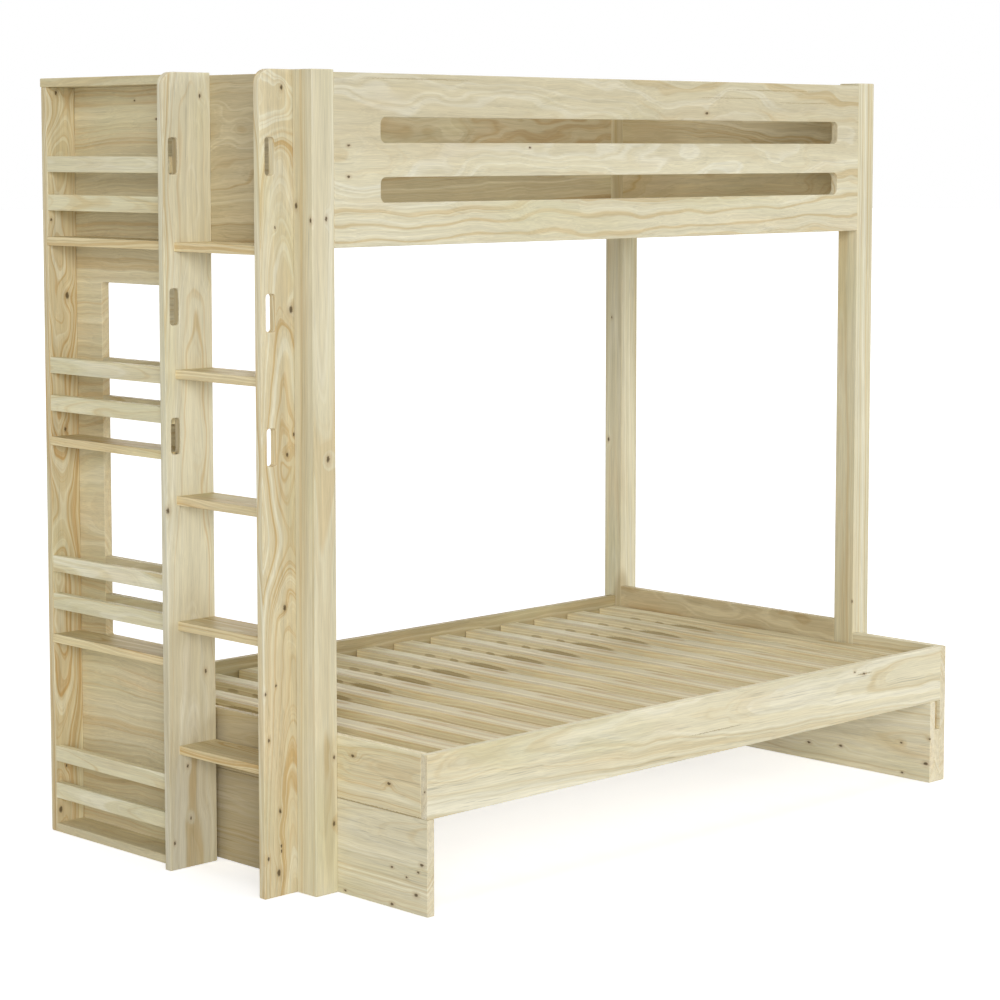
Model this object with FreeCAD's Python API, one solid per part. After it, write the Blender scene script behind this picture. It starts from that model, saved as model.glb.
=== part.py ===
import FreeCAD, Part
import os
from FreeCAD import Vector

# Driving dimensions in millimetres. X runs along the bed from the ladder end to the foot end,
# Y runs from the front to the wall side, Z is up.
board = 22.0              # thickness of every plank and panel
post = 68.0               # side of a square corner post
frame_length = 2080.0     # over the posts, along X
frame_depth = 966.0       # over the posts, along Y
post_height = 1927.0

# Upper bunk
panel_drop = 6.0          # panels stop this far below the post tops
panel_height = 404.0
slot_height = 60.0        # the two long slots in the front guard
slot_edge_band = 102.0    # wood above the upper slot and below the lower one
slot_left_margin = 145.0
slot_right_margin = 93.0
slot_corner = 16.0

# Ladder
stile_depth = 144.0
stile_corner = 33.0       # rounding of the outer top corner
ladder_width = 335.0      # clear width between the stiles
tread_count = 5
step_over = 6.0           # top tread above the lower edge of the upper panels
tread_inset = 31.0        # tread nosing behind the outer edge of the stiles
housing = 6.0             # depth of the pockets that treads and shelves sit in
grip_width = 28.0
grip_height = 88.0
grip_inset = 30.0         # middle of a hand slot from the outer edge of the stile
grip_corner = 8.0
grip_rises = (145.0, 151.0, 205.0)   # middle of a hand slot above the upper three treads

# Bookcase beside the ladder
case_inset = 35.0         # bookcase front behind the outer edge of the stiles
case_lip = 4.0            # overhang of the bookcase top at the wall side
shelf_over = 8.0          # upper shelf above the lower edge of the upper panels
shelf_count = 3
low_bay_cut = 15.0        # the lowest bay is this much lower than the ones above it
stop_height = 40.0        # the thin rails that keep books in
stop_rises = (66.0, 162.0)
window_border = 126.0     # panel left on each side of the window
window_head = 92.0        # panel left between the window and the upper shelf
window_corner = 8.0

# Lower bed
lower_overhang = 308.0    # lower front rail in front of the posts
rail_top = 376.0
rail_height = 150.0
foot_rise = 31.0          # board between the foot posts above the rail top
batten_height = 40.0
batten_recess = 12.0
beam_width = 44.0
cleat_depth = 32.0
cleat_height = 60.0
cleat_wing = 23.0         # cleat beyond each side of the centre beam

# Slatted bases
slat_count = 14
slat_width = 70.0
slat_thickness = 25.0
slat_end_gap = 4.0        # between the end slats and the bed ends
slat_play = 2.0           # between slat ends and rails
slat_drop = 31.0          # lower slats below the rail top
ledger_width = 28.0
lower_ledger_height = 40.0
upper_ledger_height = 32.0

# Dowels between posts, upper panels and lower rails
dowel_diameter = 10.0
dowel_in_end = 30.0       # depth in end grain or in a post
dowel_in_face = 14.0      # depth in the face of a board
dowel_fit = 0.15          # radial play
dowel_room = 1.0          # empty depth past the dowel
dowel_edge = 60.0         # upper dowels from the panel edges
dowel_edge_rail = 37.0    # lower dowels from the edges of the rails

# Loose tongues, the flat slips of wood in grooves between the lower end boards and their neighbours
tongue_thickness = 8.0
tongue_depth = 14.0       # depth in each of the two pieces
tongue_stop = 20.0        # groove ends from the edges of the board
tongue_fit = 0.15         # play all round

# Planes that several pieces share
x_foot = frame_length - post
x_head = post + board
x_inner = post - board
x_out = x_inner - stile_depth
x_case = x_out + case_inset
y_rear = frame_depth - 2 * post
y_back = frame_depth - post
y_front = -post - lower_overhang
y_rail = y_front + board
y_stile = board + ladder_width
y_case = y_stile + board
panel_top = post_height - panel_drop
panel_foot = panel_top - panel_height
rail_foot = rail_top - rail_height
origin = Vector((x_out + frame_length) / 2, (y_front + y_back + case_lip) / 2, 0)

nodes = {}
dowels = {"dowels_upper": [], "dowels_lower": []}
tongues = []


def plank(x, y, z):
    """Square-edged board that fills three (low, high) spans."""
    size = [high - low for low, high in (x, y, z)]
    return Part.makeBox(*size, Vector(x[0], y[0], z[0]))


def rounded(x, y, z, axis, radius):
    """Board whose four edges along axis are rounded, used to cut slots and windows."""
    block = plank(x, y, z)
    along = [e for e in block.Edges if abs(e.tangentAt(e.FirstParameter).dot(axis)) > 0.99]
    return block.makeFillet(radius, along)


def peg(group, point, axis, first, second):
    """Dowel at point along axis. first and second are (node, depth) behind and ahead of point."""
    radius = dowel_diameter / 2
    (behind, back), (beyond, ahead) = first, second
    pin = Part.makeCylinder(radius, back + ahead, point - axis * back, axis)
    bore_start = point - axis * (back + dowel_room)
    bore = Part.makeCylinder(radius + dowel_fit, back + ahead + 2 * dowel_room, bore_start, axis)
    for node in (behind, beyond):
        nodes[node] = nodes[node].cut(bore)
    dowels[group].append(pin)


def tongue(x, y, z, *sides):
    """Slip of wood that fills three spans, in grooves cut into the nodes on its sides."""
    groove = [(low - tongue_fit, high + tongue_fit) for low, high in (x, y, z)]
    for node in sides:
        nodes[node] = nodes[node].cut(plank(*groove))
    tongues.append(plank(x, y, z))


# Corner posts. The one behind the bookcase is narrower and stops level with the panels.
front = (-post, 0)
rear = (y_rear, y_back)
near_head = (0, post)
near_foot = (x_foot, frame_length)
nodes["post_front_left"] = plank(near_head, front, (0, post_height))
nodes["post_front_right"] = plank(near_foot, front, (0, post_height))
nodes["post_rear_right"] = plank(near_foot, rear, (0, post_height))
nodes["post_rear_left"] = plank((x_inner, x_head), rear, (0, panel_top))

# Upper panels, with two long rounded slots routed through the front guard
panel_z = (panel_foot, panel_top)
guard_y = (-post, -post + board)
guard = plank((post, x_foot), guard_y, panel_z)
slot_x = (post + slot_left_margin, x_foot - slot_right_margin)
low_slot = panel_foot + slot_edge_band
high_slot = panel_top - slot_edge_band - slot_height
for z in (low_slot, high_slot):
    guard = guard.cut(rounded(slot_x, guard_y, (z, z + slot_height), Vector(0, 1, 0), slot_corner))
nodes["guard_panel_front"] = guard
nodes["back_panel_upper"] = plank((x_head, x_foot), (y_back - board, y_back), panel_z)
nodes["head_panel_upper"] = plank((x_inner, post), (0, y_rear), panel_z)
nodes["foot_panel_upper"] = plank((x_foot, x_foot + board), (0, y_rear), panel_z)

# Ladder treads, evenly spaced from the floor and let into the stiles
top_tread = panel_foot + step_over
tread_tops = [top_tread * (n + 1) / tread_count for n in range(tread_count)]
tread_x = (x_out + tread_inset, x_inner)
tread_y = (board - housing, y_stile + housing)
for n, top in enumerate(tread_tops):
    nodes[f"ladder_tread_{n + 1}"] = plank(tread_x, tread_y, (top - board, top))

# Bookcase shelves, counted from the bottom, let into the rear stile and the bookcase side
case_top = panel_top - board
top_shelf = panel_foot + shelf_over
bay_pitch = (top_shelf - board + low_bay_cut) / shelf_count
shelf_tops = [top_shelf - bay_pitch * n for n in reversed(range(shelf_count))]
shelf_x = (x_case, x_inner - board)
shelf_y = (y_case - housing, y_back - board + housing)
for n, top in enumerate(shelf_tops):
    nodes[f"bookcase_shelf_{n + 1}"] = plank(shelf_x, shelf_y, (top - board, top))
treads = [nodes[f"ladder_tread_{n + 1}"] for n in range(tread_count)]
shelves = [nodes[f"bookcase_shelf_{n + 1}"] for n in range(shelf_count)]

# Ladder stiles: rounded at the outer top corner, with three hand slots each
grip_x = x_out + grip_inset


def stile(y0, pieces):
    """Upright plank at y0 with pockets for the given pieces."""
    span = (y0, y0 + board)
    plain = plank((x_out, x_inner), span, (0, post_height))
    corner = [e for e in plain.Edges if abs(e.tangentAt(e.FirstParameter).y) > 0.99
              and e.CenterOfMass.x < x_out + 1 and e.CenterOfMass.z > post_height - 1]
    upright = plain.makeFillet(stile_corner, corner)
    for top, rise in zip(tread_tops[-len(grip_rises):], grip_rises):
        across = (grip_x - grip_width / 2, grip_x + grip_width / 2)
        height = (top + rise - grip_height / 2, top + rise + grip_height / 2)
        upright = upright.cut(rounded(across, span, height, Vector(0, 1, 0), grip_corner))
    for piece in pieces:
        upright = upright.cut(piece)
    return upright


nodes["ladder_stile_front"] = stile(0, treads)
nodes["ladder_stile_rear"] = stile(y_stile, treads + shelves)

# Bookcase carcase: back with a window, side against the back, top and bottom
case_y = (y_case, y_back - board)
side = plank(shelf_x, (y_back - board, y_back), (0, case_top))
for shelf in shelves:
    side = side.cut(shelf)
nodes["bookcase_side"] = side
back_x = (x_inner - board, x_inner)
back_y = (y_case, y_back)
window_y = (back_y[0] + window_border, back_y[1] - window_border)
window_z = (shelf_tops[0], shelf_tops[-1] - board - window_head)
window = rounded(back_x, window_y, window_z, Vector(1, 0, 0), window_corner)
nodes["bookcase_back"] = plank(back_x, back_y, (0, case_top)).cut(window)
nodes["bookcase_top"] = plank((x_case, x_inner), (y_case, y_back + case_lip), (case_top, panel_top))
nodes["bookcase_bottom"] = plank(shelf_x, case_y, (0, board))

# Book stops: two thin rails across the front of each bay, and bars behind them in the window
stop_z = [(top + rise, top + rise + stop_height) for top in [board] + shelf_tops for rise in stop_rises]
for n, z in enumerate(stop_z):
    nodes[f"bookcase_stop_{n + 1}"] = plank((x_case, x_case + board), case_y, z)
bar_z = [z for z in stop_z if window_z[0] < z[0] and z[1] < window_z[1]]
for n, z in enumerate(bar_z):
    nodes[f"window_bar_{n + 1}"] = plank(back_x, window_y, z)

# Lower bed, wider than the upper one: rails and end boards
rail_z = (rail_foot, rail_top)
leg_z = (0, rail_foot)
y_mid_post = (y_rear + y_back) / 2
back_rail_y = (y_mid_post - board / 2, y_mid_post + board / 2)
nodes["lower_front_rail"] = plank((post, x_foot), (y_front, y_rail), rail_z)
nodes["lower_back_rail"] = plank((x_head, x_foot), back_rail_y, rail_z)
nodes["lower_head_board"] = plank((post, x_head), (y_rail, y_rear), rail_z)
nodes["lower_head_leg"] = plank((post, x_head), (y_front, y_rear), leg_z)

# Foot end: outer leg in front of the post, inner leg right across, spacer and battens between
foot_x = (x_foot, x_foot + board)
spacer_x = (x_foot - board, x_foot)
inner_x = (x_foot - 2 * board, x_foot - board)
foot_board_top = rail_top + foot_rise
batten_foot = rail_foot - 2 * batten_height
nodes["foot_leg_outer"] = plank(foot_x, (y_front, -post), (0, rail_top))
nodes["foot_leg_inner"] = plank(inner_x, (y_front, back_rail_y[1]), leg_z)
nodes["foot_board"] = plank(foot_x, (0, y_rear), (rail_foot, foot_board_top))
nodes["foot_spacer_front"] = plank(spacer_x, (y_front, 0), (0, batten_foot))
nodes["foot_spacer_rear"] = plank(spacer_x, (y_rear, back_rail_y[1]), (0, batten_foot))
batten_y = (y_front + batten_recess, back_rail_y[1])
for n, name in enumerate(("foot_batten_lower", "foot_batten_upper")):
    foot = batten_foot + n * batten_height
    nodes[name] = plank(spacer_x, batten_y, (foot, foot + batten_height))

# Slatted bases: ledgers along the rails, slats across, and a beam under the wider lower base
deck_top = rail_top - slat_drop
deck_foot = deck_top - slat_thickness
bed_x = (x_head, x_foot)
lower_ledger_z = (deck_foot - lower_ledger_height, deck_foot)
nodes["lower_ledger_front"] = plank(bed_x, (y_rail, y_rail + ledger_width), lower_ledger_z)
nodes["lower_ledger_back"] = plank(bed_x, (back_rail_y[0] - ledger_width, back_rail_y[0]), lower_ledger_z)
y_bed = (y_rail + back_rail_y[0]) / 2
beam_y = (y_bed - beam_width / 2, y_bed + beam_width / 2)
nodes["lower_centre_beam"] = plank(bed_x, beam_y, (rail_foot, deck_foot))
cleat_y = (beam_y[0] - cleat_wing, beam_y[1] + cleat_wing)
nodes["beam_cleat"] = plank((x_head, x_head + cleat_depth), cleat_y, (rail_foot - cleat_height, rail_foot))
ledge = panel_foot + upper_ledger_height
upper_ledger_z = (panel_foot, ledge)
nodes["upper_ledger_front"] = plank((post, x_foot), (guard_y[1], guard_y[1] + ledger_width), upper_ledger_z)
inner_back = y_back - board
nodes["upper_ledger_back"] = plank(bed_x, (inner_back - ledger_width, inner_back), upper_ledger_z)


def slats(y, z):
    """Row of slats spread evenly along the bed."""
    first = x_head + slat_end_gap
    last = x_foot - slat_end_gap - slat_width
    pitch = (last - first) / (slat_count - 1)
    starts = [first + pitch * n for n in range(slat_count)]
    return Part.makeCompound([plank((x, x + slat_width), y, z) for x in starts])


lower_slat_y = (y_rail + slat_play, back_rail_y[0] - slat_play)
upper_slat_y = (guard_y[1] + slat_play, inner_back - slat_play)
nodes["lower_slats"] = slats(lower_slat_y, (deck_foot, deck_top))
nodes["upper_slats"] = slats(upper_slat_y, (ledge, ledge + slat_thickness))

# Dowels between the upper panels and the posts
along_x = Vector(1, 0, 0)
along_y = Vector(0, 1, 0)
guard_mid = (guard_y[0] + guard_y[1]) / 2
back_mid = y_back - board / 2
head_mid = post - board / 2
foot_mid = x_foot + board / 2
upper_joints = (
    ("post_front_left", "guard_panel_front", (post, guard_mid), along_x),
    ("guard_panel_front", "post_front_right", (x_foot, guard_mid), along_x),
    ("post_rear_left", "back_panel_upper", (x_head, back_mid), along_x),
    ("back_panel_upper", "post_rear_right", (x_foot, back_mid), along_x),
    ("post_front_left", "head_panel_upper", (head_mid, 0), along_y),
    ("head_panel_upper", "post_rear_left", (head_mid, y_rear), along_y),
    ("post_front_right", "foot_panel_upper", (foot_mid, 0), along_y),
    ("foot_panel_upper", "post_rear_right", (foot_mid, y_rear), along_y),
)
for behind, ahead, (x, y), axis in upper_joints:
    for z in (panel_foot + dowel_edge, panel_top - dowel_edge):
        peg("dowels_upper", Vector(x, y, z), axis, (behind, dowel_in_end), (ahead, dowel_in_end))

# Dowels at the ends of the lower rails
rail_mid = (y_front + y_rail) / 2
head_leg_mid = post + board / 2
rail_dowel_z = (rail_foot + dowel_edge_rail, rail_top - dowel_edge_rail)
end_grain = dowel_in_end
face = dowel_in_face
lower_joints = (
    ("lower_front_rail", end_grain, "foot_leg_outer", face, (x_foot, rail_mid), along_x),
    ("post_rear_left", end_grain, "lower_back_rail", end_grain, (x_head, y_mid_post), along_x),
    ("lower_back_rail", end_grain, "post_rear_right", end_grain, (x_foot, y_mid_post), along_x),
)
for behind, back_depth, ahead, ahead_depth, (x, y), axis in lower_joints:
    for z in rail_dowel_z:
        peg("dowels_lower", Vector(x, y, z), axis, (behind, back_depth), (ahead, ahead_depth))

# Loose tongues between the end boards, the posts and the head leg
head_tongue_x = (head_leg_mid - tongue_thickness / 2, head_leg_mid + tongue_thickness / 2)
foot_tongue_x = (foot_mid - tongue_thickness / 2, foot_mid + tongue_thickness / 2)


def across(middle):
    """Span of a tongue that enters both pieces where they meet."""
    return (middle - tongue_depth, middle + tongue_depth)


leg_tongue_z = (tongue_stop, rail_top - tongue_stop)
foot_tongue_z = (rail_foot + tongue_stop, foot_board_top - tongue_stop)
head_tongue_z = (rail_foot + tongue_stop, rail_top - tongue_stop)
head_tongue_y = (y_rail + tongue_depth + tongue_stop, y_rear - tongue_depth - tongue_stop)
tongue(foot_tongue_x, across(-post), leg_tongue_z, "foot_leg_outer", "post_front_right")
tongue(foot_tongue_x, across(0), foot_tongue_z, "post_front_right", "foot_board")
tongue(foot_tongue_x, across(y_rear), foot_tongue_z, "foot_board", "post_rear_right")
tongue(head_tongue_x, across(y_rear), head_tongue_z, "lower_head_board", "post_rear_left")
tongue(head_tongue_x, across(y_rail), head_tongue_z, "lower_front_rail", "lower_head_board")
tongue(head_tongue_x, head_tongue_y, across(rail_foot), "lower_head_leg", "lower_head_board")

nodes["loose_tongues"] = Part.makeCompound(tongues)
for name, pins in dowels.items():
    nodes[name] = Part.makeCompound(pins)

# Every piece is written with the middle of the footprint on the floor as its origin
os.makedirs("parts", exist_ok=True)
for name, shape in nodes.items():
    placed = shape.copy()
    placed.translate(-origin)
    placed.exportStep(f"parts/{name}.step")
print(len(nodes), "nodes,", sum(len(s.Solids) for s in nodes.values()), "solids")
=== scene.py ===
import math
import random
import bmesh
import bpy
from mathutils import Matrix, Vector


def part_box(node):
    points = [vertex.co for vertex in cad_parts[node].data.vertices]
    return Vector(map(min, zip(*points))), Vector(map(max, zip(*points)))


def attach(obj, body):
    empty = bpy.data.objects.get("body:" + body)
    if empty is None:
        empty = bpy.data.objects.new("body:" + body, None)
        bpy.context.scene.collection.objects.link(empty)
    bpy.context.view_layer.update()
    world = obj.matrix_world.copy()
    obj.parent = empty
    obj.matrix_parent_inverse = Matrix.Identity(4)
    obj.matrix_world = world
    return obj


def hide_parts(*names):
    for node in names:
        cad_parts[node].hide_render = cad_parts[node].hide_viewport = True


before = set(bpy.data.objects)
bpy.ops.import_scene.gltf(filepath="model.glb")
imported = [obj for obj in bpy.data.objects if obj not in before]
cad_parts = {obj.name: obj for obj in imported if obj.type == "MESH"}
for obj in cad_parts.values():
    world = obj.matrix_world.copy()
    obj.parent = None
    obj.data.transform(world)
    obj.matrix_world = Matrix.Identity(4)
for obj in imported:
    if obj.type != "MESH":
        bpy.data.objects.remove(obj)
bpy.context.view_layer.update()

# Corner posts: square lengths of bare pine, sawn along the grain and planed, with the arrises sanded off.
# They stand on the floor, and the upper panels and the back rail are dowelled into their faces.
post_arris = 0.0025
lengthwise, crosswise, upright = range(3)
mm = 0.001
weld = 1e-6
touching = 1e-5
flat_angle = math.radians(0.5)
arris_angle = math.radians(40)
smooth_angle = math.radians(35)
faces_along = 0.7


def solids_of(bm):
    """Groups of vertices, one group for each closed solid in the mesh."""
    waiting = set(bm.verts)
    groups = []
    for first in bm.verts:
        if first not in waiting:
            continue
        waiting.discard(first)
        group = []
        to_visit = [first]
        while to_visit:
            vert = to_visit.pop()
            group.append(vert)
            for edge in vert.link_edges:
                other = edge.other_vert(vert)
                if other in waiting:
                    waiting.discard(other)
                    to_visit.append(other)
        groups.append(group)
    return groups


def extents(verts):
    """Lowest and highest corner of some vertices."""
    low = Vector([min(v.co[axis] for v in verts) for axis in range(3)])
    high = Vector([max(v.co[axis] for v in verts) for axis in range(3)])
    return low, high


def worked_face(face, low, high):
    """True for a face that was planed or cut right through, and not for the wall of a bore or housing."""
    thin = min(range(3), key=lambda axis: high[axis] - low[axis])
    face_low, face_high = extents(face.verts)
    for axis in range(3):
        if face_high[axis] - face_low[axis] < touching:
            if min(face_low[axis] - low[axis], high[axis] - face_high[axis]) < touching:
                return True
    return face_low[thin] - low[thin] < touching and high[thin] - face_high[thin] < touching


def arrises(verts):
    """Outer edges of a solid, which the maker takes off with sandpaper."""
    low, high = extents(verts)
    found = []
    for edge in dict.fromkeys(edge for vert in verts for edge in vert.link_edges):
        if len(edge.link_faces) != 2 or not edge.is_convex:
            continue
        if edge.calc_face_angle() > arris_angle and all(worked_face(f, low, high) for f in edge.link_faces):
            found.append(edge)
    return found


def lay_in_log(bm, verts, along, heart, lean, draw):
    """Gives a solid its place in a tree: grain is the distance along the trunk and from its heart.

    heart is how far from the heart the board was sawn, and lean its slope against the trunk. Each board
    draws its own within the spreads. Returns the axis across the board's broad face.
    """
    trunk_length = 40
    heart_spread = (0.8, 1.3)
    side_spread = 0.35
    lean_spread = (0.6, 1.2)
    grain = bm.verts.layers.float_vector["grain"]
    spot = bm.verts.layers.float_vector["spot"]
    tone = bm.verts.layers.float["tone"]
    low, high = extents(verts)
    centre = (low + high) / 2
    sides = [axis for axis in range(3) if axis != along]
    wide, thin = sorted(sides, key=lambda axis: low[axis] - high[axis])
    trunk = draw.uniform(0, trunk_length)
    off_heart = draw.choice((-1, 1)) * heart * draw.uniform(*heart_spread)
    sideways = (high[wide] - low[wide]) * draw.uniform(-side_spread, side_spread)
    lean_wide = lean * draw.uniform(-1, 1)
    lean_thin = lean * draw.choice((-1, 1)) * draw.uniform(*lean_spread)
    shade = draw.uniform(-1, 1)
    for vert in verts:
        place = vert.co - centre
        run = place[along]
        across = sideways + place[wide] + lean_wide * run
        vert[grain] = (trunk + run, across, off_heart + place[thin] + lean_thin * run)
        vert[spot] = [(vert.co - low)[axis] for axis in (along, wide, thin)]
        vert[tone] = shade
    return wide


def board(node, along, arris, material, heart, lean, pick=0, alike=False):
    """Board on its CAD node, with eased arrises and its own piece of a log. along is the grain's axis.

    Another pick is another piece of the log. Where a node holds several solids, alike cuts them all from
    the same part of it.
    """
    draw = random.Random(f"{node} {pick}")
    bm = bmesh.new()
    bm.from_mesh(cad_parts[node].data)
    bmesh.ops.remove_doubles(bm, verts=bm.verts, dist=weld)
    bmesh.ops.dissolve_limit(bm, angle_limit=flat_angle, verts=bm.verts, edges=bm.edges)
    bm.verts.layers.float_vector.new("grain")
    bm.verts.layers.float_vector.new("spot")
    bm.verts.layers.float.new("tone")
    eased = bm.faces.layers.float.new("eased")
    end_grain = bm.faces.layers.float.new("end_grain")
    narrow = bm.faces.layers.float.new("narrow")
    sharp = [edge for verts in solids_of(bm) for edge in arrises(verts)]
    rounded = bmesh.ops.bevel(bm, geom=sharp, offset=arris, offset_type="OFFSET", segments=2, profile=0.5,
                              affect="EDGES", clamp_overlap=False)
    for face in rounded["faces"]:
        face[eased] = 1
    bm.normal_update()
    for verts in solids_of(bm):
        if alike:
            draw = random.Random(f"{node} {pick}")
        wide = lay_in_log(bm, verts, along, heart, lean, draw)
        for face in {face for vert in verts for face in vert.link_faces}:
            face[end_grain] = float(abs(face.normal[along]) > faces_along)
            face[narrow] = float(abs(face.normal[wide]) > faces_along)
    mesh = bpy.data.meshes.new(node + "_wood")
    bm.to_mesh(mesh)
    bm.free()
    mesh.shade_smooth()
    mesh.set_sharp_from_angle(angle=smooth_angle)
    mesh.materials.append(material)
    piece = bpy.data.objects.new(node + "_wood", mesh)
    bpy.context.scene.collection.objects.link(piece)
    shading = piece.modifiers.new("even_shading", "WEIGHTED_NORMAL")
    shading.keep_sharp = True
    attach(piece, "root")
    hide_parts(node)


def linear(red, green, blue):
    """Colour as given, 0 to 255 in sRGB, turned into light."""
    parts = [value / 255 for value in (red, green, blue)]
    return tuple(((p + 0.055) / 1.055) ** 2.4 if p > 0.04045 else p / 12.92 for p in parts) + (1.0,)


def add_node(tree, kind, inputs, **settings):
    """Shader node with its settings made and its inputs wired or set."""
    made = tree.nodes.new("ShaderNode" + kind)
    for name, value in settings.items():
        setattr(made, name, value)
    for name, value in inputs.items():
        if isinstance(value, bpy.types.NodeSocket):
            tree.links.new(value, made.inputs[name])
        else:
            made.inputs[name].default_value = value
    return made


def pine(name, cream, body, tan, band, bend=0.02, swirl=(2.0, 6.0), hairs=0.5, blush=0.25,
         knots=(), streaks=(), burls=(), painted_edge_light=0.0):
    """Bare pine. Growth rings lie round the heart of the log, and bend with slow growth and round knots.

    cream, body and tan are the palest, the usual and the darkest wood. band is the width in metres of a
    run of like years, bend how far the rings wander, swirl how often they do along and across the board,
    hairs the strength of the thin dark lines, blush that of the warm patches, and painted_edge_light how
    much paler the narrow edges are painted, a painted highlight. The rest lie on the board, in millimetres
    along, across and through it from its low corner: knots with their radius, streaks of heartwood and of
    painted shade with their half height, half length and strength, and burls, which go right through, with
    their reach and how far they push the rings.
    """
    made = bpy.data.materials.new(name)
    made.use_nodes = True
    tree = made.node_tree
    shader = tree.nodes["Principled BSDF"]

    def layer(title, output="Fac"):
        return add_node(tree, "Attribute", {}, attribute_name=title).outputs[output]

    def sums(operation, first, second=0.0, third=0.0):
        return add_node(tree, "Math", {0: first, 1: second, 2: third}, operation=operation).outputs[0]

    def vectors(operation, *parts):
        worked = add_node(tree, "VectorMath", dict(enumerate(parts)), operation=operation)
        return worked.outputs["Value" if operation in ("LENGTH", "DISTANCE") else "Vector"]

    def cloud(where, along, across, detail, output="Fac"):
        """Soft random patches, so many to the metre along and across the board."""
        stretched = vectors("MULTIPLY", where, (along, across, across))
        settings = {"Vector": stretched, "Scale": 1.0, "Detail": detail, "Roughness": 0.55}
        return add_node(tree, "TexNoise", settings).outputs[output]

    def lines(where, detail):
        """Random bands, about one to each step of where."""
        settings = {"W": where, "Scale": 1.0, "Detail": detail, "Roughness": 0.6}
        return add_node(tree, "TexNoise", settings, noise_dimensions="1D").outputs["Fac"]

    def off_middle(noise):
        return sums("SUBTRACT", noise, 0.5)

    def fade(value, start, end, least=0.0, most=1.0):
        """least where value is at start, growing smoothly to most where it is at end."""
        limits = {"Value": value, "From Min": start, "From Max": end, "To Min": least, "To Max": most}
        return add_node(tree, "MapRange", limits, interpolation_type="SMOOTHSTEP").outputs[0]

    def blend(share, first, second, kind="MIX"):
        mixed = add_node(tree, "Mix", {0: share, 6: first, 7: second}, data_type="RGBA", blend_type=kind)
        return mixed.outputs[2]

    grain = layer("grain", "Vector")
    spot = layer("spot", "Vector")
    tone = layer("tone")
    cloud_middle = (0.5, 0.5, 0.5)

    # Knots, with a frayed edge, and the rings that swell round them, in radii of the knot
    knot_stretch = (0.6, 1.0, 1.0)
    knot_push = 0.8
    fray_reach = (0.006, 0.004, 0.004)
    fray = cloud(spot, along=230.0, across=230.0, detail=1.0, output="Color")
    frayed = vectors("MULTIPLY_ADD", vectors("SUBTRACT", fray, cloud_middle), fray_reach, spot)
    on_face = vectors("MULTIPLY", frayed, knot_stretch)
    far_off = 99.0
    nearest = far_off
    swell = 0.0
    for along, across, through, radius in knots:
        centre = (along * mm * knot_stretch[0], across * mm, through * mm)
        radii = sums("DIVIDE", vectors("DISTANCE", on_face, centre), radius * mm)
        nearest = sums("MINIMUM", nearest, radii)
        swell = sums("MAXIMUM", swell, fade(radii, start=6.0, end=0.6, most=radius * mm * knot_push))
    knot = fade(nearest, start=1.15, end=0.5)
    collar = fade(nearest, start=2.8, end=0.9)

    # Burls, which push whole runs of rings aside
    burl_stretch = (0.8, 1.0, 0.0)
    for along, across, size, push in burls:
        centre = (along * mm * burl_stretch[0], across * mm, 0.0)
        away = vectors("DISTANCE", vectors("MULTIPLY", spot, burl_stretch), centre)
        swell = sums("ADD", swell, fade(away, start=size * mm, end=0.0, most=push * mm))

    # Streaks of heartwood, long and pointed, with a soft rim, and painted shade laid on the same way
    inside_rim = 0.625
    heartwood_and_shade = 0.0
    for along, across, through, half_height, half_length, share in streaks:
        slim = half_height / half_length
        centre = (along * mm * slim, across * mm, through * mm)
        away = vectors("DISTANCE", vectors("MULTIPLY", frayed, (slim, 1.0, 1.0)), centre)
        rim = half_height * mm
        heartwood_and_shade = sums("MAXIMUM", heartwood_and_shade, fade(away, start=rim, end=rim * inside_rim, most=share))

    # Growth rings round the heart, in broad runs of years and single fine ones
    years_between_boards = 37.0
    fine_to_broad = 3.7
    broad_share = 0.38
    fine_share = 0.62
    wander = vectors("SUBTRACT", cloud(grain, *swirl, detail=2.6, output="Color"), cloud_middle)
    bent = vectors("MULTIPLY_ADD", wander, (0, bend * 2, bend * 2), grain)
    from_heart = sums("ADD", vectors("LENGTH", vectors("MULTIPLY", bent, (0, 1, 1))), swell)
    years = sums("MULTIPLY_ADD", tone, years_between_boards, sums("DIVIDE", from_heart, band))
    broad = lines(years, detail=1.0)
    fine = lines(sums("MULTIPLY", years, fine_to_broad), detail=3.0)
    patch = cloud(grain, along=1.3, across=9.0, detail=2.0)
    mood = sums("MULTIPLY_ADD", broad, broad_share, sums("MULTIPLY", fine, fine_share))
    mood = sums("MULTIPLY_ADD", off_middle(patch), -blush, mood)
    ring_colours = add_node(tree, "ValToRGB", {"Fac": mood})
    stops = ring_colours.color_ramp.elements
    for place, colour in ((0.38, tan), (0.47, body), (0.53, body), (0.62, cream)):
        stops.new(place).color = colour
    stops.remove(stops[0])
    stops.remove(stops[-1])

    # Blushes of pink and green
    pink = fade(cloud(grain, along=3.1, across=11.0, detail=1.0), start=0.52, end=0.75, most=0.18)
    wood = blend(pink, ring_colours.outputs["Color"], linear(222, 199, 160))
    green = fade(cloud(grain, along=2.2, across=8.0, detail=1.0), start=0.46, end=0.25, most=0.35)
    wood = blend(green, wood, linear(212, 207, 168))
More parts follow.
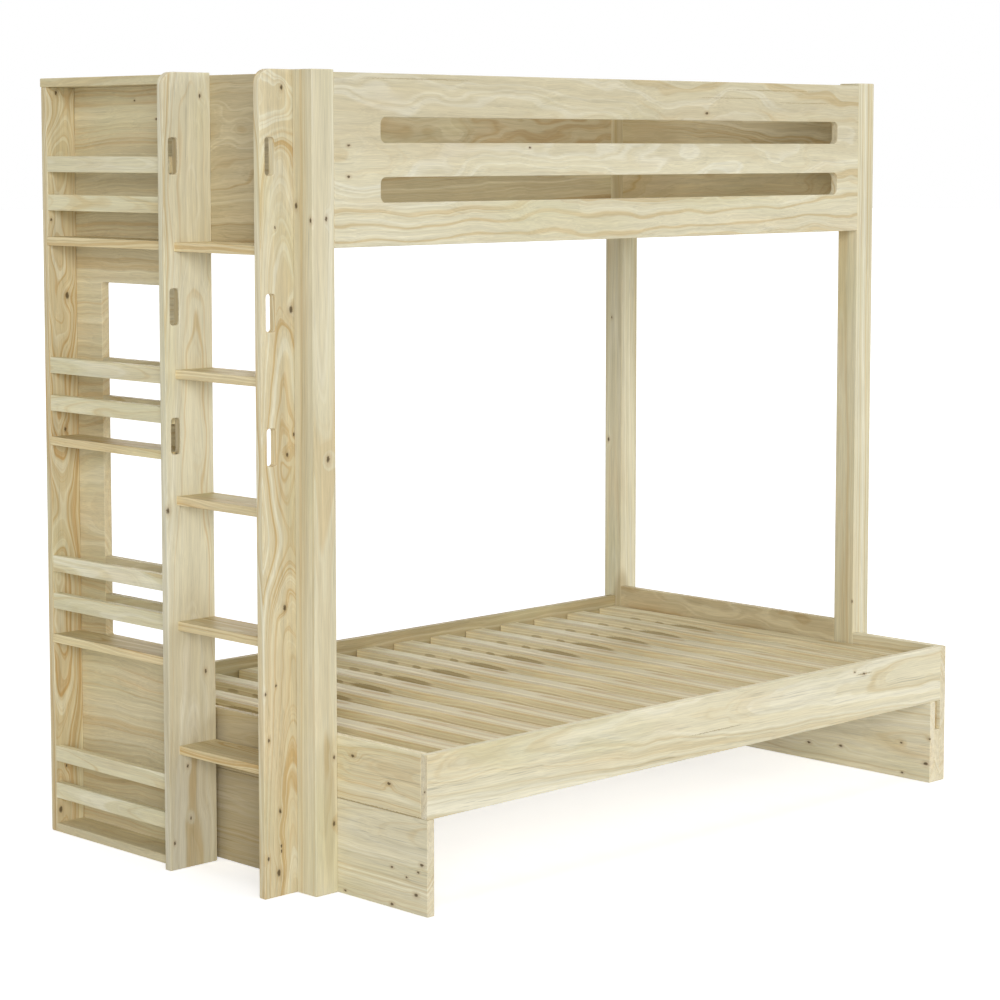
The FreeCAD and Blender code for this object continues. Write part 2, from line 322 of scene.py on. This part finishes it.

    # Lightness: thin dark hairs, fibre, soft streaks, what differs from board to board and face to face,
    # and a painted highlight on the narrow edges
    hair = fade(cloud(bent, along=4.0, across=330.0, detail=1.0), start=0.56, end=0.74)
    hair_share = fade(cloud(grain, along=2.0, across=22.0, detail=1.0), start=0.38, end=0.62, least=0.25)
    fibre = cloud(bent, along=14.0, across=640.0, detail=2.0)
    soft_streak = cloud(bent, along=1.6, across=75.0, detail=2.0)
    end_grain = layer("end_grain")
    lightness = 1.03
    for part, depth in ((sums("MULTIPLY", hair, hair_share), -0.30 * hairs), (off_middle(fibre), 0.42),
                        (off_middle(soft_streak), 0.42), (tone, 0.03), (end_grain, -0.02),
                        (layer("narrow"), painted_edge_light), (layer("eased"), 0.03)):
        lightness = sums("MULTIPLY_ADD", part, depth, lightness)
    grey = add_node(tree, "CombineColor", {0: lightness, 1: lightness, 2: lightness}).outputs[0]
    wood = blend(1.0, wood, grey, "MULTIPLY")

    # Thirsty end grain, heartwood and painted shade, and knots with their collars
    for share, colour in ((sums("MULTIPLY", end_grain, 0.10), linear(224, 190, 152)),
                          (heartwood_and_shade, linear(150, 125, 72)),
                          (sums("MULTIPLY", collar, 0.30), linear(178, 146, 100)),
                          (sums("MULTIPLY", knot, 0.88), linear(88, 72, 50))):
        wood = blend(share, wood, colour)
    tree.links.new(wood, shader.inputs["Base Color"])

    # Surface: dark lines lie a little low after sanding and are duller, and knots sink in
    plain_roughness = 0.58
    dull = sums("MULTIPLY_ADD", fibre, 0.16, plain_roughness)
    dull = sums("MULTIPLY_ADD", fine, -0.14, dull)
    tree.links.new(dull, shader.inputs["Roughness"])
    shader.inputs["Specular IOR Level"].default_value = 0.05
    relief = sums("MULTIPLY_ADD", knot, -0.6, fine)
    relief = sums("MULTIPLY_ADD", fibre, 0.5, relief)
    bump = add_node(tree, "Bump", {"Strength": 0.25, "Distance": 0.0006, "Height": relief})
    tree.links.new(bump.outputs[0], shader.inputs["Normal"])
    return made


def stray_knots(node, along, count):
    """A few knots on the broad faces of a board, at places of its own."""
    smallest = 2.0
    largest = 4.0
    draw = random.Random(node + " knots")
    low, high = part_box(node)
    span = [(high[axis] - low[axis]) / mm for axis in range(3)]
    sides = [axis for axis in range(3) if axis != along]
    wide, thin = sorted(sides, key=lambda axis: -span[axis])
    return [(draw.uniform(0, span[along]), draw.uniform(0, span[wide]), draw.choice((0, span[thin])),
             draw.uniform(smallest, largest)) for _ in range(count)]


usual_tones = linear(233, 227, 203), linear(223, 215, 184), linear(213, 196, 155)
post_tones = {"front_left": (linear(229, 222, 196), linear(222, 213, 182), linear(214, 198, 159))}
post_knots = {"front_left": ((1581, 0, 6, 4), (1615, 0, 56, 5), (1585, 42, 0, 4), (1029, 44, 0, 5.5),
                             (325, 57, 0, 3.5), (167, 56, 0, 4.5))}
post_streaks_and_shade = {"front_left": ((220, 42, 0, 22, 210, 0.20), (1000, 0, 30, 15, 420, 0.13),
                               (1640, 0, 44, 13, 300, 0.12)),
                # The rear right post's streaks are painted shade: high up inside the bunk, and at its foot.
                "rear_right": ((1719, 0, 20, 60, 320, 0.5), (330, 0, 8, 40, 150, 0.4))}
post_picks = {"front_left": 1}
for corner in ("front_left", "front_right", "rear_right", "rear_left"):
    post = "post_" + corner
    post_pine = pine(f"pine_{post}", *post_tones.get(corner, usual_tones), band=0.022, bend=0.009,
                     swirl=(1.6, 6.0), knots=post_knots.get(corner) or stray_knots(post, upright, count=4),
                     streaks=post_streaks_and_shade.get(corner, ()))
    board(post, upright, post_arris, post_pine, heart=0.13, lean=0.008,
          pick=post_picks.get(corner, 0))

# Front guard: a wide board of pale pine with a wild, flat-cut figure along its length. Two long slots with
# round ends are routed through it for air and light. It is dowelled between the front posts.
panel_arris = 0.002
guard_knots = ((1300, 321, 0, 4), (44, 236, 0, 3), (44, 164, 0, 3.5), (640, 231, 0, 2.5))
guard_streaks = ((1560, 384, 0, 2.0, 260, 0.5), (1420, 362, 0, 1.6, 200, 0.5),
                 (1700, 352, 0, 1.8, 160, 0.5), (260, 392, 0, 2.0, 240, 0.5),
                 (1000, 404, 0, 230, 6000, 0.19))
guard_pine = pine("guard_pine", linear(234, 229, 206), linear(224, 216, 186), linear(212, 195, 155),
                  band=0.040, bend=0.030, swirl=(2.6, 6.0), hairs=0.4, knots=guard_knots,
                  streaks=guard_streaks)
board("guard_panel_front", lengthwise, panel_arris, guard_pine, heart=0.30, lean=0.02, pick=2)

# Back, head and foot panels of the upper bunk: plainer boards, set between the posts and dowelled to them,
# flush with the guard at the top and bottom. Their browner tones are painted shade for the inside of the
# bunk, and the foot panel's painted shade deepens towards the back.
shaded_inner_tones = linear(213, 201, 168), linear(199, 185, 150), linear(183, 160, 119)
shaded_inner_pine = pine("shaded_inner_pine", *shaded_inner_tones, band=0.030, bend=0.026, swirl=(2.6, 6.0))
shaded_back_tones = linear(206, 195, 163), linear(192, 179, 145), linear(178, 156, 116)
shaded_back_panel_pine = pine("shaded_back_panel_pine", *shaded_back_tones, band=0.030, bend=0.026, swirl=(2.6, 6.0))
# The foot panel's streak is painted shade towards the back corner of the bunk.
shaded_foot_tones = linear(223, 212, 182), linear(211, 198, 163), linear(196, 174, 132)
shaded_foot_panel_pine = pine("shaded_foot_panel_pine", *shaded_foot_tones, band=0.030, bend=0.026, swirl=(2.6, 6.0),
                       streaks=((860, 200, 0, 260, 330, 0.27),))
board("back_panel_upper", lengthwise, panel_arris, shaded_back_panel_pine, heart=0.30, lean=0.02)
board("head_panel_upper", crosswise, panel_arris, shaded_inner_pine, heart=0.26, lean=0.03)
board("foot_panel_upper", crosswise, panel_arris, shaded_foot_panel_pine, heart=0.26, lean=0.03)

# Ladder stiles: two wide upright planks, the front one of lively, streaky pine and the rear one paler. The
# outer top corner is sawn round, and hand slots are routed through. The front one's narrow edges get a
# painted highlight, and the rear one gets painted shade on its slot walls and low down. The treads sit in
# housings in their inner faces.
front_knots = ((1885, 66, 0, 4), (1565, 44, 0, 2.5), (1375, 90, 0, 6), (1085, 96, 0, 3), (1039, 76, 0, 4),
               (681, 65, 0, 5), (485, 5, 0, 3), (501, 37, 0, 2.5), (375, 14, 0, 3.5), (203, 47, 0, 4),
               (120, 50, 0, 3), (107, 50, 0, 3), (95, 11, 0, 3.5), (57, 42, 0, 6))
front_burls = ((1850, 55, 110, 20), (840, 70, 160, 12))
front_pine = pine("front_stile_pine", linear(232, 225, 198), linear(221, 208, 172), linear(206, 179, 129),
                  band=0.014, bend=0.012, swirl=(2.6, 6.0), hairs=0.4, blush=0.2, knots=front_knots,
                  burls=front_burls, painted_edge_light=0.06)
board("ladder_stile_front", upright, panel_arris, front_pine, heart=0.10, lean=0.04, pick=2)
rear_knots = ((1871, 112, 0, 3.5), (881, 3, 0, 5), (477, 113, 0, 4), (251, 55, 0, 3), (121, 63, 0, 3),
              (67, 13, 0, 3))
# Painted shade on the walls of the rear stile's hand slots.
slot_wall_shade = [(slot_height, 44, 13, 12, 75, 0.6) for slot_height in (1728, 1369, 1059)]
# The broad low streak is painted shade, darker towards the bottom of the stile.
rear_pine = pine("rear_stile_pine", linear(235, 231, 210), linear(225, 218, 190), linear(214, 196, 156),
                 band=0.022, bend=0.016, swirl=(2.2, 6.0), knots=rear_knots,
                 streaks=[(240, 72, 0, 130, 560, 0.25), *slot_wall_shade])
board("ladder_stile_rear", upright, panel_arris, rear_pine, heart=0.10, lean=0.016, pick=5)


# Ladder treads: short flat boards of pine with their grain across the ladder, so that they carry a foot.
# Each is let into both stiles and glued. Its top has darker tones as painted shade, and its front edge a
# painted highlight.
def like_pieces(start):
    """Names of the CAD nodes of like pieces, in order."""
    return sorted(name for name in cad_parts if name.startswith(start))


shaded_tread_pine = pine("shaded_tread_pine", linear(220, 207, 171), linear(206, 190, 150), linear(188, 160, 110),
                  band=0.016, painted_edge_light=0.22)
for tread in like_pieces("ladder_tread_"):
    board(tread, crosswise, panel_arris, shaded_tread_pine, heart=0.06, lean=0.03)

# Bookcase carcase: pine boards, an upright side like the front stile, a back with a tall window sawn out of
# it, a top and a bottom. The back's figure runs across, and the carcase is glued up against the stile and
# the rear post.
side_knots = ((1885, 30, 0, 4), (1375, 56, 0, 6), (1567, 10, 0, 3), (1035, 44, 0, 4), (55, 13, 0, 6),
              (167, 33, 0, 3))
side_burls = ((1850, 20, 110, 20), (840, 35, 160, 12))
side_pine = pine("bookcase_side_pine", linear(225, 216, 186), linear(213, 198, 159), linear(196, 164, 112),
                 band=0.011, bend=0.018, swirl=(2.6, 6.0), hairs=0.4, blush=0.2, knots=side_knots,
                 burls=side_burls)
board("bookcase_side", upright, panel_arris, side_pine, heart=0.10, lean=0.016, pick=2)
case_pine = pine("bookcase_back_pine", linear(223, 213, 180), linear(214, 202, 166), linear(206, 187, 145),
                 band=0.040, bend=0.030, swirl=(2.6, 6.0), hairs=0.3,
                 knots=stray_knots("bookcase_back", crosswise, count=9))
for panel in ("bookcase_back", "bookcase_top", "bookcase_bottom"):
    board(panel, crosswise, panel_arris, case_pine, heart=0.22, lean=0.03)

# Bookcase shelves: three boards of pine, let into the rear stile and the bookcase side and glued there.
# Their browner tones are painted shade inside the bookcase, and their paler front edges a painted highlight.
shaded_shelf_pine = pine("shaded_shelf_pine", linear(209, 196, 159), linear(195, 179, 139), linear(178, 151, 103),
                  band=0.016, painted_edge_light=0.34)
for shelf in like_pieces("bookcase_shelf_"):
    board(shelf, crosswise, panel_arris, shaded_shelf_pine, heart=0.06, lean=0.03)

# Book stops and window bars: thin rails ripped from clear pine, the stops paler and the bars given darker
# tones as painted shade. The stops are glued between the rear stile and the bookcase side to keep books in,
# and the bars across the window behind them.
stop_arris = 0.0018
stop_pine = pine("stop_pine", linear(234, 228, 200), linear(224, 216, 181), linear(214, 198, 154),
                 band=0.014, bend=0.010)
shaded_bar_pine = pine("shaded_bar_pine", linear(217, 208, 178), linear(205, 194, 160), linear(193, 174, 132),
                band=0.014, bend=0.010)
for start, strip_pine in (("bookcase_stop_", stop_pine), ("window_bar_", shaded_bar_pine)):
    for strip in like_pieces(start):
        board(strip, crosswise, stop_arris, strip_pine, heart=0.08, lean=0.02)

# Lower bed rails and head end: long boards of pale pine round the wide lower bed, with a leg panel under the
# head board and a painted shadow line along the joint between the two. The front rail laps the end of the
# head board, so the rail's end grain shows at the corner.
rail_tones = linear(233, 227, 203), linear(225, 217, 188), linear(215, 201, 164)
rail_knots = ((1600, 121, 0, 3.5), (1560, 130, 0, 2.5), (0, 64, 9, 2.5))
rail_streaks = ((1000, 58, 0, 1.4, 132, 0.6), (1600, 121, 0, 2.5, 40, 0.6))
rail_pine = pine("rail_pine", *rail_tones, band=0.020, bend=0.007, swirl=(4.0, 9.0), hairs=0.8,
                 knots=rail_knots, streaks=rail_streaks)
board("lower_front_rail", lengthwise, panel_arris, rail_pine, heart=0.14, lean=0.02)
# The back rail's darker tones are painted shade for the back of the lower bed.
shaded_back_rail_pine = pine("shaded_back_rail_pine", linear(193, 181, 146), linear(178, 163, 126), linear(162, 139, 97),
                      band=0.026, bend=0.020)
board("lower_back_rail", lengthwise, panel_arris, shaded_back_rail_pine, heart=0.14, lean=0.02)
head_knots = ((232, 109, 0, 4), (107, 64, 0, 4))
# Painted shadow line along the joint under the head board.
joint_shadow = (620, 0, 0, 3.5, 2500, 0.7)
# The broad streak on the head board is painted shadow of the ladder.
head_pine = pine("head_board_pine", linear(231, 223, 194), linear(222, 211, 177), linear(209, 187, 140),
                 band=0.018, bend=0.007, swirl=(3.0, 8.0), hairs=0.8, knots=head_knots,
                 streaks=((620, 75, 0, 230, 310, 0.46), joint_shadow))
board("lower_head_board", crosswise, panel_arris, head_pine, heart=0.14, lean=0.02)
head_leg_knots = ((19, 119, 0, 4), (31, 100, 0, 3), (120, 96, 0, 3), (70, 82, 0, 2.5), (38, 46, 0, 4.5),
                  (120, 9, 0, 4), (283, 9, 0, 3))
# The broad streak on the head leg is painted shadow of the ladder.
head_leg_pine = pine("head_leg_pine", *rail_tones, band=0.018, bend=0.007, swirl=(3.0, 8.0), hairs=0.8,
                     knots=head_leg_knots, streaks=((642, 113, 0, 260, 310, 0.54),))
board("lower_head_leg", crosswise, panel_arris, head_leg_pine, heart=0.14, lean=0.02)

# Foot end, of the same pale pine: an outer leg in front of the post, an inner leg panel across the bed, and
# packing pieces and two browner battens glued in between. The inner leg is made paler still as painted light
# against the shade under the bed, and the board between the foot posts is browner as painted shade; loose
# tongues join it to them.
inner_leg_knots = ((14, 52, 0, 5), (2, 123, 0, 3), (95, 14, 0, 3), (99, 98, 0, 3), (312, 56, 0, 4),
                   (427, 48, 0, 4))
lit_foot_leg_pine = pine("lit_foot_leg_pine", linear(239, 233, 211), linear(232, 224, 196), linear(222, 208, 171),
                     band=0.018, bend=0.007, swirl=(3.0, 8.0), hairs=0.7, knots=inner_leg_knots)
board("foot_leg_inner", crosswise, panel_arris, lit_foot_leg_pine, heart=0.14, lean=0.02)
clear_pine = pine("clear_pine", *rail_tones, band=0.018, bend=0.007, swirl=(3.0, 8.0), hairs=0.6)
for block in ("foot_leg_outer", "foot_spacer_front", "foot_spacer_rear"):
    board(block, crosswise, panel_arris, clear_pine, heart=0.14, lean=0.02)
board("foot_board", crosswise, panel_arris, shaded_inner_pine, heart=0.14, lean=0.02)
batten_pine = pine("batten_pine", linear(203, 183, 138), linear(190, 167, 120), linear(172, 142, 92),
                   band=0.012)
for batten in ("foot_batten_lower", "foot_batten_upper"):
    board(batten, crosswise, stop_arris, batten_pine, heart=0.06, lean=0.02)

# Slatted bases: planed pine slats laid across on ledgers that run along the rails. The wide lower base also
# rests on a beam down its middle, which a cleat carries at the head end.
slat_arris = 0.002
slat_tones = linear(225, 217, 186), linear(214, 203, 169), linear(200, 179, 136)
# Painted shadows: dark dashes on the slats' sides, at the same places on every slat; the sides also get a
# painted highlight.
slat_side_shadows = ((825, 0, 9, 8, 100, 0.6), (955, 0, 9, 6, 22, 0.5), (1052, 0, 9, 6, 28, 0.4))
slat_pine = pine("slat_pine", *slat_tones, band=0.016, bend=0.012, streaks=slat_side_shadows, painted_edge_light=0.26)
for slats in ("lower_slats", "upper_slats"):
    board(slats, crosswise, slat_arris, slat_pine, heart=0.07, lean=0.015, alike=True)
ledger_pine = pine("ledger_pine", *slat_tones, band=0.016, bend=0.012)
for ledger in ("lower_ledger_front", "lower_ledger_back", "lower_centre_beam", "upper_ledger_front",
               "upper_ledger_back"):
    board(ledger, lengthwise, slat_arris, ledger_pine, heart=0.06, lean=0.01)
board("beam_cleat", crosswise, slat_arris, ledger_pine, heart=0.06, lean=0.01)

# Dowels and loose tongues: turned beech pins and flat slips, glued into bores and grooves where boards
# meet. They are hidden once the bed is together, and keep their CAD shapes.
beech = bpy.data.materials.new("beech")
beech.use_nodes = True
beech_tree = beech.node_tree
beech_shader = beech_tree.nodes["Principled BSDF"]
on_pin = add_node(beech_tree, "TexCoord", {}).outputs["Object"]
flecks = add_node(beech_tree, "TexNoise", {"Vector": on_pin, "Scale": 420.0, "Detail": 3.0}).outputs["Fac"]
fleck_colours = add_node(beech_tree, "ValToRGB", {"Fac": flecks})
fleck_colours.color_ramp.elements[0].color = linear(176, 134, 92)
fleck_colours.color_ramp.elements[1].color = linear(214, 178, 136)
beech_tree.links.new(fleck_colours.outputs["Color"], beech_shader.inputs["Base Color"])
beech_dull = add_node(beech_tree, "MapRange", {"Value": flecks, "To Min": 0.45, "To Max": 0.6})
beech_tree.links.new(beech_dull.outputs[0], beech_shader.inputs["Roughness"])
beech_bump = add_node(beech_tree, "Bump", {"Strength": 0.2, "Distance": 0.0003, "Height": flecks})
beech_tree.links.new(beech_bump.outputs[0], beech_shader.inputs["Normal"])
for hidden in ("dowels_upper", "dowels_lower", "loose_tongues"):
    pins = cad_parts[hidden].data
    pins.materials.clear()
    pins.materials.append(beech)


# Studio: a pale floor that runs to the horizon and keeps the bed's shadow, a little white light from all
# round, and four broad soft lamps far off: one by the camera, one overhead, one to the camera's right and
# one behind the bed.
def shows_studio(tree):
    """1 for rays that show the studio itself, straight to the camera or by way of gloss or glass."""
    ray = add_node(tree, "LightPath", {})
    shown = 0.0
    for kind in ("Is Camera Ray", "Is Glossy Ray", "Is Transmission Ray"):
        shown = add_node(tree, "Math", {0: shown, 1: ray.outputs[kind]}, operation="MAXIMUM").outputs[0]
    return shown


floor_half = 60.0
floor_gap = 0.0005
paper_grey = 0.86
paper_glow = 0.58
white = (1, 1, 1, 1)
floor_mesh = bpy.data.meshes.new("floor")
floor_corners = [(x * floor_half, y * floor_half, 0) for x, y in ((-1, -1), (1, -1), (1, 1), (-1, 1))]
floor_mesh.from_pydata(floor_corners, [], [(0, 1, 2, 3)])
floor = bpy.data.objects.new("floor", floor_mesh)
bpy.context.scene.collection.objects.link(floor)
floor.location.z = -floor_gap
paper = bpy.data.materials.new("studio_paper")
paper.use_nodes = True
paper_tree = paper.node_tree
paper_tree.nodes.remove(paper_tree.nodes["Principled BSDF"])
matt = add_node(paper_tree, "BsdfDiffuse", {"Color": (paper_grey, paper_grey, paper_grey, 1)}).outputs[0]
glow = add_node(paper_tree, "Emission", {"Color": white, "Strength": paper_glow}).outputs[0]
bright = add_node(paper_tree, "AddShader", {0: matt, 1: glow}).outputs[0]
either = add_node(paper_tree, "MixShader", {0: shows_studio(paper_tree), 1: matt, 2: bright})
paper_tree.links.new(either.outputs[0], paper_tree.nodes["Material Output"].inputs["Surface"])
floor_mesh.materials.append(paper)

sky_light = 0.26
world = bpy.data.worlds.new("studio")
bpy.context.scene.world = world
world.use_nodes = True
sky = world.node_tree
backdrop = sky.nodes["Background"]
backdrop.inputs["Color"].default_value = white
strength = add_node(sky, "MapRange", {"Value": shows_studio(sky), "To Min": sky_light, "To Max": 1.0})
sky.links.new(strength.outputs[0], backdrop.inputs["Strength"])

lamp_spread = math.radians(30)
lamps = {"front_lamp": ((-0.63, -0.74, 0.27), 0.48), "overhead_lamp": ((0.05, -0.10, 1.0), 0.32),
         "right_lamp": ((0.68, -0.68, 0.20), 0.17), "rear_lamp": ((0.62, 0.77, 0.12), 0.30)}
for lamp_name, (towards, share) in lamps.items():
    lamp_data = bpy.data.lights.new(lamp_name, "SUN")
    lamp_data.energy = math.pi * share
    lamp_data.angle = lamp_spread
    lamp = bpy.data.objects.new(lamp_name, lamp_data)
    lamp.rotation_euler = Vector(towards).to_track_quat("Z", "Y").to_euler()
    bpy.context.scene.collection.objects.link(lamp)

# Camera: a long lens at the height of the upper bunk, off the corner where the ladder stands, as in the
# photo. A little shift lets it look down less, so that the uprights stay nearly upright.
view_down = math.radians(5.237)
view_round = math.radians(45.365)
camera_data = bpy.data.cameras.new("camera")
camera_data.sensor_width = 36.0
camera_data.lens = 98.60
camera_data.shift_y = -0.10
camera_data.clip_end = 300.0
camera = bpy.data.objects.new("camera", camera_data)
camera.location = (-5.0951, -5.0993, 1.7448)
camera.rotation_euler = (math.pi / 2 - view_down, 0, view_round - math.pi / 2)
bpy.context.scene.collection.objects.link(camera)
bpy.context.scene.camera = camera
bpy.context.scene.view_settings.view_transform = "Standard"
